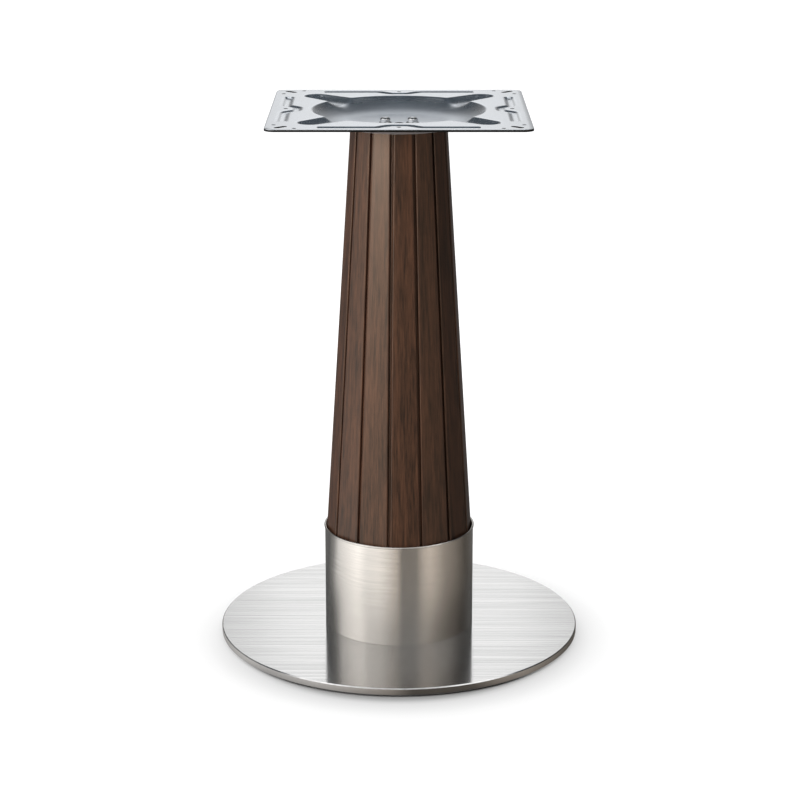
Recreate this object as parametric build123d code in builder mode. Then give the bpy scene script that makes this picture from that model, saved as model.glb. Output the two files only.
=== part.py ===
from build123d import *
from math import acos, atan, cos, degrees, hypot, pi, radians, sin, sqrt, tan
import os

os.makedirs("parts", exist_ok=True)

# Pedestal base for a dining or cafe table. All sizes are millimetres.
# The origin is on the floor, under the centre of the column. +Z is up and the front is -Y.

# Overall
TOTAL_HEIGHT = 730.0            # floor to the face that carries the table top
SEAT_CLEARANCE = 0.1            # glue line between wooden parts and round parts
PIN_CLEARANCE = 0.05            # radial, for pins and screws in their holes

# Foot disc
DISC_DIAMETER = 495.0
DISC_THICKNESS = 10.0
DISC_EDGE_CHAMFER = 1.2

# Glides under the disc
GLIDE_COUNT = 6
GLIDE_INSET = 25.0              # disc edge to glide centre
GLIDE_PAD_DIAMETER = 22.0
GLIDE_PAD_THICKNESS = 2.0
GLIDE_PAD_CHAMFER = 0.6
GLIDE_PIN_DIAMETER = 8.0
GLIDE_PIN_LENGTH = 5.0
GLIDE_HOLE_DEPTH = 6.0

# Countersunk screws that hold the column's core down on the disc
SCREW_COUNT = 4
SCREW_INSET = 20.0              # foot flange edge to screw centre
SCREW_DIAMETER = 8.0
SCREW_HEAD_DIAMETER = 16.0
SCREW_LENGTH = 17.0
SCREW_HOLE_CLEARANCE = 0.5
SCREW_SOCKET_ACROSS_FLATS = 5.0
SCREW_SOCKET_DEPTH = 3.0
COUNTERSINK_ANGLE = 90.0

# Welded steel core: foot flange, tube and head flange
FLANGE_THICKNESS = 8.0
FLANGE_GAP = 4.0                # flange rim to the inner faces of the staves
TUBE_DIAMETER = 60.0
TUBE_WALL = 3.0

# Wooden column of flat tapered staves
STAVE_COUNT = 14
STAVE_THICKNESS = 14.0
COLUMN_TOP_RADIUS = 65.0        # axis to a corner of the column, at its top
COLUMN_FOOT_RADIUS = 100.3      # the same inside the collar, where the column is straight
SEAM_ANGLE = -8.0               # the seam nearest the front, in degrees to its right
GROOVE_WIDTH = 4.5
GROOVE_DEPTH = 4.0
STAVE_CHAMFER = 1.2

# Wooden formers that the staves are glued round
FORMER_THICKNESS = 18.0
FORMER_MIDDLE_HEIGHT = 430.0    # floor to the middle former's lower face

# Steel collar round the foot of the column
COLLAR_HEIGHT = 142.0
COLLAR_WALL = 1.5
COLLAR_CLEARANCE = 0.7          # column corners to the collar's wall
RIM_CLEARANCE = 0.3             # column corners to the collar's rolled rim
RIM_WIDTH = 3.0
RIM_SIDES = 12                  # the rolled rim's round section is drawn with this many sides

# Pressed steel top plate
PLATE_SIDE = 338.0
PLATE_CORNER_RADIUS = 14.0
PLATE_GAUGE = 3.0
PLATE_EDGE_CHAMFER = 0.5
DISH_RIM_RADIUS = 115.0
DISH_DEPTH = 19.0
DISH_FLOOR_MARGIN = 1.0         # flat floor beyond the column's corners
ARM_DEPTH = 8.0
ARM_TIP_REACH = 176.0           # plate centre to the end of an arm, along the diagonal
ARM_TIP_RADIUS = 17.0
ARM_ROOT_RADIUS = 23.0          # half width where the arm runs into the dish
ARM_ROOT_REACH = 92.0
ARM_DRAFT = 35.0
ARM_FLOOR_RADIUS = 8.0
BEAD_WIDTH = 12.0
BEAD_DEPTH = 3.0
BEAD_DRAFT = 50.0
BEAD_FLOOR_RADIUS = 1.0
BEAD_INSET = 20.0               # plate edge to the bead's centre line
BEAD_HALF_LENGTH = 102.0
BEAD_BUMP_HALF_FOOT = 27.0      # the bead steps inwards round each mid-side hole
BEAD_BUMP_HALF_TOP = 12.0
BEAD_BUMP_HEIGHT = 15.0
BEAD_BEND_RADIUS = 12.0
PRESS_RADIUS = 4.0              # rounding where the flat face turns into dish and arms
RIDGE_RADIUS = 8.0              # rounding where the arms run into the dish

# Holes in the top plate
MID_HOLE_CIRCLE_DIAMETER = 298.0
MID_HOLE_DIAMETER = 6.0
CORNER_HOLE_NEAR = 131.0        # the two coordinates of each small corner hole
CORNER_HOLE_FAR = 158.0
CORNER_HOLE_DIAMETER = 5.5
SLOT_REACH = 210.0              # plate centre to slot centre, along the diagonal
SLOT_WIDTH = 8.0
SLOT_LENGTH = 20.0
CENTRE_HOLE_DIAMETER = 12.0

# Flange bolts that hold the plate to the head flange
BOLT_SPACING = 36.0
BOLT_DIAMETER = 8.0
BOLT_LENGTH = 16.0
BOLT_HOLE_CLEARANCE = 0.5
BOLT_FLANGE_DIAMETER = 17.0
BOLT_FLANGE_THICKNESS = 1.8
BOLT_FLANGE_SLOPE = 35.0        # of the flange's rim, from upright
BOLT_HEX_ACROSS_FLATS = 13.0
BOLT_HEAD_HEIGHT = 8.0
BOLT_CROWN_ANGLE = 60.0         # the turned crown's slope, from upright

# Two points nearer than this are the same point
TOLERANCE = 0.01

# Heights that follow from the sizes above
disc_bottom = GLIDE_PAD_THICKNESS
disc_top = disc_bottom + DISC_THICKNESS
foot_flange_top = disc_top + FLANGE_THICKNESS
collar_top = disc_top + COLLAR_HEIGHT
plate_under = TOTAL_HEIGHT - PLATE_GAUGE
dish_floor = TOTAL_HEIGHT - DISH_DEPTH
column_top = dish_floor - PLATE_GAUGE
head_flange_bottom = column_top - FLANGE_THICKNESS
former_upper_bottom = head_flange_bottom - FORMER_THICKNESS

# Column geometry that follows from the sizes above
half_pitch = pi / STAVE_COUNT
taper_height = column_top - collar_top


def corner_radius(z):
    """Axis to a corner of the column at height z."""
    if z <= collar_top:
        return COLUMN_FOOT_RADIUS
    share = (z - collar_top) / taper_height
    return COLUMN_FOOT_RADIUS + (COLUMN_TOP_RADIUS - COLUMN_FOOT_RADIUS) * share


def outer_face(z):
    """Axis to the middle of a stave's outer face at height z."""
    return corner_radius(z) * cos(half_pitch)


def inner_face(z):
    """Axis to the middle of a stave's inner face at height z."""
    return outer_face(z) - STAVE_THICKNESS


def stave_angle(index):
    """Direction of a stave's middle in degrees from +X, counted to the right from the front seam."""
    return SEAM_ANGLE - 90.0 + degrees(half_pitch) * (1 + 2 * index)


def keep(piece, name):
    """Label a finished piece and write it."""
    piece.label = name
    export_step(piece, f"parts/{name}.step")


# Foot disc: one thick plate with broken edges, countersunk for the core's screws
underside = Plane(origin=(0, 0, disc_bottom), x_dir=(1, 0, 0), z_dir=(0, 0, -1))
glide_circle_radius = DISC_DIAMETER / 2 - GLIDE_INSET
foot_flange_radius = inner_face(disc_top) - FLANGE_GAP
screw_circle_radius = foot_flange_radius - SCREW_INSET
with BuildPart() as base_disc:
    with BuildSketch(Plane.XY.offset(disc_bottom)):
        Circle(DISC_DIAMETER / 2)
    extrude(amount=DISC_THICKNESS)
    chamfer(base_disc.edges().filter_by(GeomType.CIRCLE), DISC_EDGE_CHAMFER)
    with Locations(underside):
        with PolarLocations(screw_circle_radius, SCREW_COUNT):
            CounterSinkHole(
                radius=SCREW_DIAMETER / 2 + SCREW_HOLE_CLEARANCE,
                counter_sink_radius=SCREW_HEAD_DIAMETER / 2 + SEAT_CLEARANCE,
                counter_sink_angle=COUNTERSINK_ANGLE,
            )
        with PolarLocations(glide_circle_radius, GLIDE_COUNT):
            Hole(GLIDE_PIN_DIAMETER / 2, depth=GLIDE_HOLE_DEPTH)
keep(base_disc.part, "base_disc")

# Glides: a round pad under the disc and a pin pressed up into it
for number in range(GLIDE_COUNT):
    with BuildPart() as base_glide:
        with PolarLocations(glide_circle_radius, 1, start_angle=360.0 * number / GLIDE_COUNT):
            Cylinder(GLIDE_PAD_DIAMETER / 2, GLIDE_PAD_THICKNESS, align=(Align.CENTER, Align.CENTER, Align.MIN))
            chamfer(base_glide.edges().filter_by(GeomType.CIRCLE).group_by(Axis.Z)[0], GLIDE_PAD_CHAMFER)
            Cylinder(
                GLIDE_PIN_DIAMETER / 2 - PIN_CLEARANCE,
                GLIDE_PAD_THICKNESS + GLIDE_PIN_LENGTH,
                align=(Align.CENTER, Align.CENTER, Align.MIN),
            )
    keep(base_glide.part, f"base_glide_{number + 1}")

# Countersunk screws, driven up from under the disc into the foot flange
screw_head_depth = (SCREW_HEAD_DIAMETER - SCREW_DIAMETER) / 2 / tan(radians(COUNTERSINK_ANGLE / 2))
screw_radius = SCREW_DIAMETER / 2 - PIN_CLEARANCE
for number in range(SCREW_COUNT):
    with BuildPart() as base_screw:
        screw_location = PolarLocations(
            screw_circle_radius, 1, start_angle=360.0 * number / SCREW_COUNT
        ).locations[0]
        screw_seat = Plane(screw_location).offset(disc_bottom)
        with BuildSketch(screw_seat):
            Circle(SCREW_HEAD_DIAMETER / 2)
        with BuildSketch(screw_seat.offset(screw_head_depth)):
            Circle(screw_radius)
        loft()
        with BuildSketch(screw_seat.offset(screw_head_depth)):
            Circle(screw_radius)
        extrude(amount=SCREW_LENGTH - screw_head_depth)
        with BuildSketch(screw_seat):
            RegularPolygon(SCREW_SOCKET_ACROSS_FLATS / 2, 6, major_radius=False)
        extrude(amount=SCREW_SOCKET_DEPTH, mode=Mode.SUBTRACT)
    keep(base_screw.part, f"base_screw_{number + 1}")

# Foot flange: the core's lower plate, tapped for the screws
with BuildPart() as core_foot_flange:
    with BuildSketch(Plane.XY.offset(disc_top)):
        Circle(foot_flange_radius)
        with PolarLocations(screw_circle_radius, SCREW_COUNT):
            Circle(SCREW_DIAMETER / 2, mode=Mode.SUBTRACT)
    extrude(amount=FLANGE_THICKNESS)
keep(core_foot_flange.part, "core_foot_flange")

# Tube: carries the load from the head flange to the foot flange
with BuildPart() as core_tube:
    with BuildSketch(Plane.XY.offset(foot_flange_top)):
        Circle(TUBE_DIAMETER / 2)
        Circle(TUBE_DIAMETER / 2 - TUBE_WALL, mode=Mode.SUBTRACT)
    extrude(amount=head_flange_bottom - foot_flange_top)
keep(core_tube.part, "core_tube")

# Head flange: the core's upper plate, tapped for the two bolts and open in the middle
with BuildPart() as core_head_flange:
    with BuildSketch(Plane.XY.offset(head_flange_bottom)):
        Circle(inner_face(column_top) - FLANGE_GAP)
        Circle(CENTRE_HOLE_DIAMETER / 2, mode=Mode.SUBTRACT)
        with GridLocations(BOLT_SPACING, 0, 2, 1):
            Circle(BOLT_DIAMETER / 2, mode=Mode.SUBTRACT)
    extrude(amount=FLANGE_THICKNESS)
keep(core_head_flange.part, "core_head_flange")

# Formers: many-sided wooden rings that follow the taper of the staves' inner faces
former_bottoms = {
    "former_lower": foot_flange_top,
    "former_middle": FORMER_MIDDLE_HEIGHT,
    "former_upper": former_upper_bottom,
}
for name, bottom in former_bottoms.items():
    with BuildPart() as former:
        for z in (bottom, bottom + FORMER_THICKNESS):
            with BuildSketch(Plane.XY.offset(z)):
                RegularPolygon(
                    inner_face(z) - SEAT_CLEARANCE,
                    STAVE_COUNT,
                    major_radius=False,
                    rotation=stave_angle(0) - degrees(half_pitch),
                )
        loft(ruled=True)
        with BuildSketch(Plane.XY.offset(bottom)):
            Circle(TUBE_DIAMETER / 2 + SEAT_CLEARANCE)
        extrude(amount=FORMER_THICKNESS, mode=Mode.SUBTRACT)
    keep(former.part, name)


def stave_outline(z):
    """Half of a stave's section at height z, from its middle: distances out and across."""
    out = outer_face(z)
    groove_floor = out - GROOVE_DEPTH
    side = tan(half_pitch)
    groove_side = GROOVE_WIDTH / 2 / cos(half_pitch)
    shoulder = out - STAVE_CHAMFER
    return [
        (inner_face(z), inner_face(z) * side),
        (groove_floor, groove_floor * side),
        (groove_floor, groove_floor * side - groove_side),
        (shoulder, shoulder * side - groove_side),
        (out, shoulder * side - groove_side - STAVE_CHAMFER),
    ]


# Staves: flat outside, straight inside the collar and tapered above it.
# Their radial sides touch, and rebates on the outer edges form the grooves between them.
for number in range(STAVE_COUNT):
    across = Rotation(0, 0, stave_angle(number))
    with BuildPart() as stave:
        for z in (disc_top, collar_top, column_top):
            half = stave_outline(z)
            mirrored = [(out, -side) for out, side in reversed(half)]
            with BuildSketch(Plane.XY.offset(z) * across):
                Polygon(*half, *mirrored, align=None)
        loft(ruled=True)
    keep(stave.part, f"stave_{number + 1:02d}")

# Collar: a rolled steel band with a rounded rim, standing on the disc
collar_inner_radius = COLUMN_FOOT_RADIUS + COLLAR_CLEARANCE
rim_radius = RIM_WIDTH / 2
rim_centre = COLUMN_FOOT_RADIUS + RIM_CLEARANCE + rim_radius
with BuildPart() as collar:
    with BuildSketch(Plane.XZ):
        with Locations((collar_inner_radius, disc_top)):
            Rectangle(COLLAR_WALL, COLLAR_HEIGHT - rim_radius, align=(Align.MIN, Align.MIN))
        with Locations((rim_centre, collar_top - rim_radius)):
            RegularPolygon(rim_radius, RIM_SIDES, rotation=180.0 / RIM_SIDES)
    revolve(axis=Axis.Z)
keep(collar.part, "collar")

# Top plate: a square blank pressed into a round dish, four arms and four edge beads.
# Each pressed form is a hollow in the upper face and the same hollow grown by the gauge below.
dish_floor_radius = COLUMN_TOP_RADIUS + DISH_FLOOR_MARGIN
dish_wall_width = DISH_RIM_RADIUS - dish_floor_radius
dish_wall_radius = dish_wall_width / sin(2 * atan(DISH_DEPTH / dish_wall_width))
dish_wall_centre = dish_floor + dish_wall_radius


def press_dish(skin):
    """Dish hollow grown by skin: a flat floor and a wall that steepens along one arc."""
    radius = dish_wall_radius + skin
    rim_angle = acos((dish_wall_centre - TOTAL_HEIGHT) / radius)
    floor_start = (0, dish_floor - skin)
    floor_end = (dish_floor_radius, dish_floor - skin)
    rim = (dish_floor_radius + radius * sin(rim_angle), TOTAL_HEIGHT)
    with BuildPart(mode=Mode.PRIVATE) as form:
        with BuildSketch(Plane.XZ):
            with BuildLine():
                Line(floor_start, floor_end)
                TangentArc(floor_end, rim, tangent=(1, 0))
                Polyline(rim, (0, TOTAL_HEIGHT), floor_start)
            make_face()
        revolve(axis=Axis.Z)
    return form.part


def pocket_section(half_width, depth, draft, floor_radius, skin):
    """Section of a drafted pocket below the upper face, grown by skin: x across, y up."""
    half_mouth = half_width + skin / cos(radians(draft))
    drop = depth + skin
    half_floor = half_mouth - drop * tan(radians(draft))
    with BuildSketch(Plane.XY, mode=Mode.PRIVATE) as section:
        Polygon((half_mouth, 0), (half_floor, -drop), (-half_floor, -drop), (-half_mouth, 0), align=None)
        fillet(section.vertices().group_by(Axis.Y)[0], floor_radius + skin)
    return section.sketch


def press_arm(angle, skin):
    """One arm's channel grown by skin: it widens into the dish and ends in a round tip."""
    outwards = Vector(1, 0, 0).rotate(Axis.Z, angle)
    across = Vector(0, 1, 0).rotate(Axis.Z, angle)
    centre = Vector(0, 0, TOTAL_HEIGHT)
    root = Plane(origin=centre + outwards * ARM_ROOT_REACH, x_dir=across, z_dir=outwards)
    tip = Plane(origin=centre + outwards * (ARM_TIP_REACH - ARM_TIP_RADIUS), x_dir=across, z_dir=outwards)
    sizes = (ARM_DEPTH, ARM_DRAFT, ARM_FLOOR_RADIUS, skin)
    with BuildPart(mode=Mode.PRIVATE) as form:
        for plane, half_width in ((root, ARM_ROOT_RADIUS), (tip, ARM_TIP_RADIUS)):
            with BuildSketch(plane):
                add(pocket_section(half_width, *sizes))
        loft(ruled=True)
        with BuildSketch(tip):
            add(pocket_section(ARM_TIP_RADIUS, *sizes))
            split(bisect_by=Plane.YZ)
        revolve(axis=Axis(tip.origin, (0, 0, 1)))
    return form.part


def press_bead(angle, skin):
    """One edge bead grown by skin, with its step round the mid-side hole."""
    across = PLATE_SIDE / 2 - BEAD_INSET
    step = across - BEAD_BUMP_HEIGHT
    reach = BEAD_HALF_LENGTH + skin
    with BuildPart(mode=Mode.PRIVATE) as form:
        with BuildLine(Plane.XY.offset(TOTAL_HEIGHT) * Rotation(0, 0, angle)) as route:
            FilletPolyline(
                (across, -reach),
                (across, -BEAD_BUMP_HALF_FOOT),
                (step, -BEAD_BUMP_HALF_TOP),
                (step, BEAD_BUMP_HALF_TOP),
                (across, BEAD_BUMP_HALF_FOOT),
                (across, reach),
                radius=BEAD_BEND_RADIUS,
            )
        along = route.line % 0
        with BuildSketch(Plane(origin=route.line @ 0, x_dir=Vector(0, 0, 1).cross(along), z_dir=along)):
            add(pocket_section(BEAD_WIDTH / 2, BEAD_DEPTH, BEAD_DRAFT, BEAD_FLOOR_RADIUS, skin))
        sweep(path=route.line)
    return form.part


def on_dish_wall(point):
    """True for a point on the curved wall of the dish's hollow, above its floor."""
    from_centre = sqrt((hypot(point.X, point.Y) - dish_floor_radius) ** 2 + (point.Z - dish_wall_centre) ** 2)
    return abs(from_centre - dish_wall_radius) < TOLERANCE and point.Z > dish_floor + TOLERANCE


arm_angles = [45.0, 135.0, 225.0, 315.0]
side_angles = [0.0, 90.0, 180.0, 270.0]
with BuildPart() as top_plate:
    with BuildSketch(Plane.XY.offset(plate_under)):
        RectangleRounded(PLATE_SIDE, PLATE_SIDE, PLATE_CORNER_RADIUS)
    extrude(amount=PLATE_GAUGE)
    chamfer(top_plate.faces().sort_by(Axis.Z)[-1].edges(), PLATE_EDGE_CHAMFER)
    for skin, mode in ((PLATE_GAUGE, Mode.ADD), (0.0, Mode.SUBTRACT)):
        add(press_dish(skin), mode=mode)
        for angle in arm_angles:
            add(press_arm(angle, skin), mode=mode)
    # Round the ridges where the arms run into the dish, then the whole mouth
    ridges = [edge for edge in top_plate.edges() if edge.center().Z < TOTAL_HEIGHT - TOLERANCE]
    fillet([edge for edge in ridges if all(on_dish_wall(edge @ t) for t in (0, 0.5, 1))], RIDGE_RADIUS)
    upper_face = top_plate.faces().filter_by(Plane.XY).sort_by(Axis.Z)[-1]
    fillet(upper_face.inner_wires()[0].edges(), PRESS_RADIUS)
    for skin, mode in ((PLATE_GAUGE, Mode.ADD), (0.0, Mode.SUBTRACT)):
        for angle in side_angles:
            add(press_bead(angle, skin), mode=mode)
    with BuildSketch(Plane.XY.offset(column_top)):
        with PolarLocations(MID_HOLE_CIRCLE_DIAMETER / 2, len(side_angles)):
            Circle(MID_HOLE_DIAMETER / 2)
        for near, far in ((CORNER_HOLE_NEAR, CORNER_HOLE_FAR), (CORNER_HOLE_FAR, CORNER_HOLE_NEAR)):
            with GridLocations(2 * near, 2 * far, 2, 2):
                Circle(CORNER_HOLE_DIAMETER / 2)
        with PolarLocations(SLOT_REACH, len(arm_angles), start_angle=arm_angles[0]):
            SlotOverall(SLOT_LENGTH, SLOT_WIDTH)
        with GridLocations(BOLT_SPACING, 0, 2, 1):
            Circle(BOLT_DIAMETER / 2 + BOLT_HOLE_CLEARANCE)
        Circle(CENTRE_HOLE_DIAMETER / 2)
    extrude(amount=DISH_DEPTH + PLATE_GAUGE, mode=Mode.SUBTRACT)
keep(top_plate.part, "top_plate")

# Flange bolts: a hexagon with a turned crown and a round flange, forged in one with the shank
for number, side in enumerate((-1, 1)):
    bolt_seat = Plane(origin=(side * BOLT_SPACING / 2, 0, dish_floor))
    with BuildPart() as top_bolt:
        with BuildSketch(bolt_seat):
            RegularPolygon(BOLT_HEX_ACROSS_FLATS / 2, 6, major_radius=False)
        extrude(amount=BOLT_HEAD_HEIGHT)
        with BuildSketch(bolt_seat.offset(BOLT_HEAD_HEIGHT)):
            Circle(BOLT_HEX_ACROSS_FLATS / 2)
        extrude(amount=-BOLT_HEAD_HEIGHT, taper=-BOLT_CROWN_ANGLE, mode=Mode.INTERSECT)
        with BuildSketch(bolt_seat):
            Circle(BOLT_FLANGE_DIAMETER / 2)
        extrude(amount=BOLT_FLANGE_THICKNESS, taper=BOLT_FLANGE_SLOPE)
        with BuildSketch(bolt_seat):
            Circle(BOLT_DIAMETER / 2 - PIN_CLEARANCE)
        extrude(amount=-BOLT_LENGTH)
    keep(top_bolt.part, f"top_bolt_{number + 1}")
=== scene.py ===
# %% [markdown]
# # A pedestal table base, dressed in Blender
#
# The imported model gives the exact metal and wooden parts. This script keeps their places, builds finer
# pieces where the eye needs them, and gives every part the finish of the real material: brushed stainless
# steel, stained walnut, zinc-plated sheet, nylon and plywood. Shade is painted too: near black on the
# plate's cut edges and the bolts' flange edges, and as a soft shadow in the floor's glow round the disc.

from math import atan, cos, degrees, pi, radians, sin, tan

import bpy
import numpy as np
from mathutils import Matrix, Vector
from mathutils.geometry import delaunay_2d_cdt


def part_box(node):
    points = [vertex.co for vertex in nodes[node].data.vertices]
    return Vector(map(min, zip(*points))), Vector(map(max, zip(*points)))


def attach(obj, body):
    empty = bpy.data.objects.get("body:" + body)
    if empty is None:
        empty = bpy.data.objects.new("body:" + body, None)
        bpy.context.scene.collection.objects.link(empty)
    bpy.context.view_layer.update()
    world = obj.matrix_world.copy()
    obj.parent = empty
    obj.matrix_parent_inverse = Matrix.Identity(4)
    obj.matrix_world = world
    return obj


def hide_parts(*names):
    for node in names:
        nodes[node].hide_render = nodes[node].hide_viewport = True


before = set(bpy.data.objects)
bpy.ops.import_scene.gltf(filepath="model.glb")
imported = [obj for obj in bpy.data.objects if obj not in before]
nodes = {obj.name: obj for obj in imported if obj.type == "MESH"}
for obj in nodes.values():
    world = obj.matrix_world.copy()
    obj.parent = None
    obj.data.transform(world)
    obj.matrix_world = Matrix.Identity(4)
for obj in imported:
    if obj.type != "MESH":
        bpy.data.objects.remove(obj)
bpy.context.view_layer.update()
print("Loaded", len(nodes), "parts")

# %% [markdown]
# ## Sizes
#
# Lengths are metres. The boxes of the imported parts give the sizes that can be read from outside. The others
# are repeated further down, where each piece is made, in the drawing's millimetres.

# %% Sizes
disc_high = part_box("base_disc")[1]
TOTAL_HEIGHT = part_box("top_plate")[1].z
DISC_RADIUS = disc_high.x
DISC_TOP = disc_high.z
COLLAR_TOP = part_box("collar")[1].z
print("Height", round(TOTAL_HEIGHT, 4), "disc radius", round(DISC_RADIUS, 4))

# %% [markdown]
# ## Writing shader maths as Python
#
# A node tree for a finish is easier to read as a formula. `Wire` wraps one output socket and turns the
# signs + - * / into Math nodes. `Finish` owns the tree of one material and has a single method that adds
# any other node: its settings first, then what goes into its sockets.

# %% A socket that can be added and multiplied
class Wire:
    def __init__(self, finish, socket):
        self.finish, self.socket = finish, socket

    def other(self, name):
        """Another output of the same node."""
        return Wire(self.finish, self.socket.node.outputs[name])

    def math(self, operation, first, second):
        return self.finish.add("ShaderNodeMath", {"operation": operation}, {0: first, 1: second})

    def __add__(self, other):
        return self.math("ADD", self, other)

    def __sub__(self, other):
        return self.math("SUBTRACT", self, other)

    def __rsub__(self, other):
        return self.math("SUBTRACT", other, self)

    def __mul__(self, other):
        return self.math("MULTIPLY", self, other)

    def __truediv__(self, other):
        return self.math("DIVIDE", self, other)

    __radd__, __rmul__ = __add__, __mul__


# %% A material with one method for every node
def linear(red, green, blue):
    """A colour as read from a screen, 0 to 255, as the linear numbers that shaders take."""
    shares = [value / 255 for value in (red, green, blue)]
    return (*[s / 12.92 if s <= 0.04045 else ((s + 0.055) / 1.055) ** 2.4 for s in shares], 1.0)


class Finish:
    def __init__(self, name, tree=None):
        if tree is None:
            self.material = bpy.data.materials.new(name)
            self.material.use_nodes = True
            tree = self.material.node_tree
        self.tree = tree
        self.tree.nodes.clear()

    def add(self, kind, settings=None, sockets=None, output=0):
        node = self.tree.nodes.new(kind)
        for name, value in (settings or {}).items():
            if name == "stops":
                ramp = node.color_ramp
                while len(ramp.elements) < len(value):
                    ramp.elements.new(1.0)
                for element, (place, colour) in zip(ramp.elements, value):
                    element.position = place
                for element, (place, colour) in zip(ramp.elements, value):
                    element.color = colour
            else:
                setattr(node, name, value)
        for name, value in (sockets or {}).items():
            if isinstance(value, Wire):
                self.tree.links.new(value.socket, node.inputs[name])
            else:
                node.inputs[name].default_value = value
        return Wire(self, node.outputs[output]) if node.outputs else None

    def place(self, stretch=(1, 1, 1)):
        """Object coordinates, stretched so that a pattern runs along a grain."""
        where = self.add("ShaderNodeTexCoord", output="Object")
        return self.add("ShaderNodeMapping", {}, {"Vector": where, "Scale": stretch})

    def noise(self, vector, scale, detail=4.0, rough=0.5):
        return self.add(
            "ShaderNodeTexNoise", {}, {"Vector": vector, "Scale": scale, "Detail": detail, "Roughness": rough}
        )

    def ramp(self, factor, stops):
        return self.add("ShaderNodeValToRGB", {"stops": stops}, {"Fac": factor})

    def mix(self, factor, first, second):
        sockets = {0: factor, 6: first, 7: second}
        return self.add("ShaderNodeMix", {"data_type": "RGBA"}, sockets, output=2)

    def range(self, value, low, high, out_low=0.0, out_high=1.0):
        return self.add("ShaderNodeMapRange", {}, {0: value, 1: low, 2: high, 3: out_low, 4: out_high})

    def bump(self, height, strength, distance):
        return self.add("ShaderNodeBump", {}, {"Height": height, "Strength": strength, "Distance": distance})

    def surface(self, **sockets):
        """The Principled shader and the material output. Underscores in names stand for spaces."""
        named = {name.replace("_", " "): value for name, value in sockets.items()}
        shader = self.add("ShaderNodeBsdfPrincipled", {}, named)
        self.add("ShaderNodeOutputMaterial", {}, {"Surface": shader})
        return self.material


def grey(value):
    """A neutral linear colour."""
    return (value, value, value, 1.0)


print("Shader helpers ready")

# %% [markdown]
# ## Brushed stainless steel
#
# Brushing cuts thousands of parallel scratches. Light spreads across them and stays sharp along them, so a
# reflection is drawn out into a streak. The Anisotropic value of the Principled shader gives that spread;
# very long thin noise gives the few deeper scratches that the eye can pick out, and the slight change of
# gloss from one to the next.

# %% Brushed steel, and the foot disc scratched from left to right
NOISE_LOW, NOISE_HIGH = 0.36, 0.64  # most values of a noise lie between these
BROAD_SCALE, BROAD_SHARE = 0.22, 0.12  # a few broader streaks among the fine ones


def brushed(name, colour, roughness, stretch, streak_scale, contrast, tangent_turn, tangent=None):
    """Scratches run along the axes whose stretch is small. Without a tangent it runs round the axis."""
    steel = Finish(name)
    place = steel.place(stretch)
    streaks = steel.noise(place, streak_scale, 3.0, 0.6)
    broad = steel.noise(place, streak_scale * BROAD_SCALE, 3.0, 0.5)
    share = streaks * (1 - BROAD_SHARE) + broad * BROAD_SHARE
    tone = steel.range(share, NOISE_LOW, NOISE_HIGH, 1.0 - contrast, 1.0 + 0.6 * contrast)
    tint = steel.add("ShaderNodeVectorMath", {"operation": "SCALE"}, {0: colour, "Scale": tone})
    sockets = {
        "Base_Color": tint,
        "Metallic": 1.0,
        "Roughness": steel.range(share, NOISE_LOW, NOISE_HIGH, roughness * 1.1, roughness * 0.9),
        "Anisotropic": 1.0,
        "Anisotropic_Rotation": tangent_turn,
        "Normal": steel.bump(streaks, 0.1, 0.00001),
    }
    if tangent is not None:
        sockets["Tangent"] = steel.add("ShaderNodeCombineXYZ", {}, dict(zip("XYZ", tangent)))
    return steel.surface(**sockets)


disc_steel = brushed(
    "brushed_disc",
    colour=(0.54, 0.537, 0.533),
    roughness=0.2,
    stretch=(0.01, 1.0, 1.0),
    streak_scale=340.0,
    contrast=0.04,
    tangent_turn=0.0,
    tangent=(0.0, 1.0, 0.0),
)
print("Finish:", disc_steel.name)

# %% Brushed steel of the collar, scratched round and round
collar_steel = brushed(
    "brushed_collar",
    colour=(0.68, 0.655, 0.62),
    roughness=0.24,
    stretch=(0.02, 0.02, 1.0),
    streak_scale=700.0,
    contrast=0.05,
    tangent_turn=0.25,
)
print("Finish:", collar_steel.name)

# %% [markdown]
# ## Stained walnut
#
# The staves are solid wood, stained dark brown and closed with a satin lacquer. Grain runs up each stave.
# A picture of wood would repeat from board to board. Long thin noises, with fine ones for the pores, don't,
# and each stave reads them at a place of its own.

# %% Stained walnut
def stained_walnut():
    """Grain in each stave's own coordinates, so that it leans with the stave as sawn wood does."""
    wood = Finish("stained_walnut")
    own = wood.add("ShaderNodeAttribute", {"attribute_name": "own_shade"}, output="Fac")
    place = wood.add("ShaderNodeAttribute", {"attribute_name": "stave_place"}, output="Vector")
    apart = wood.add("ShaderNodeCombineXYZ", {}, {"X": own * 3.0, "Y": own * 7.0, "Z": own * 11.0})
    board = wood.add("ShaderNodeVectorMath", {"operation": "ADD"}, {0: place, 1: apart})

    def along_grain(stretch):
        return wood.add("ShaderNodeMapping", {}, {"Vector": board, "Scale": (1.0, 1.0, stretch)})

    fine = wood.noise(along_grain(0.009), 620.0, 5.0, 0.6)
    streak = wood.noise(along_grain(0.007), 260.0, 4.0, 0.6)
    wide = wood.noise(along_grain(0.04), 75.0, 4.0, 0.55)
    pores = wood.range(wood.noise(along_grain(0.05), 1300.0, 2.0, 0.5), 0.58, 0.7)
    share = wood.range(fine * 0.35 + streak * 0.4 + wide * 0.25, 0.4, 0.6)
    stain = wood.mix(share, linear(23, 14, 10), linear(66, 43, 31))
    shade = (own * 0.22 + 0.9) * (1 - pores * 0.3)
    colour = wood.add("ShaderNodeVectorMath", {"operation": "SCALE"}, {0: stain, "Scale": shade})
    return wood.surface(
        Base_Color=colour,
        Roughness=wood.range(fine + pores * 0.2, 0.3, 0.8, 0.34, 0.46),
        Specular_IOR_Level=0.5,
        Specular_Tint=(1.0, 0.8, 0.66, 1.0),
        Normal=wood.bump(fine - pores * 0.5, 0.3, 0.0001),
    )


walnut = stained_walnut()
print("Finish:", walnut.name)

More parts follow.
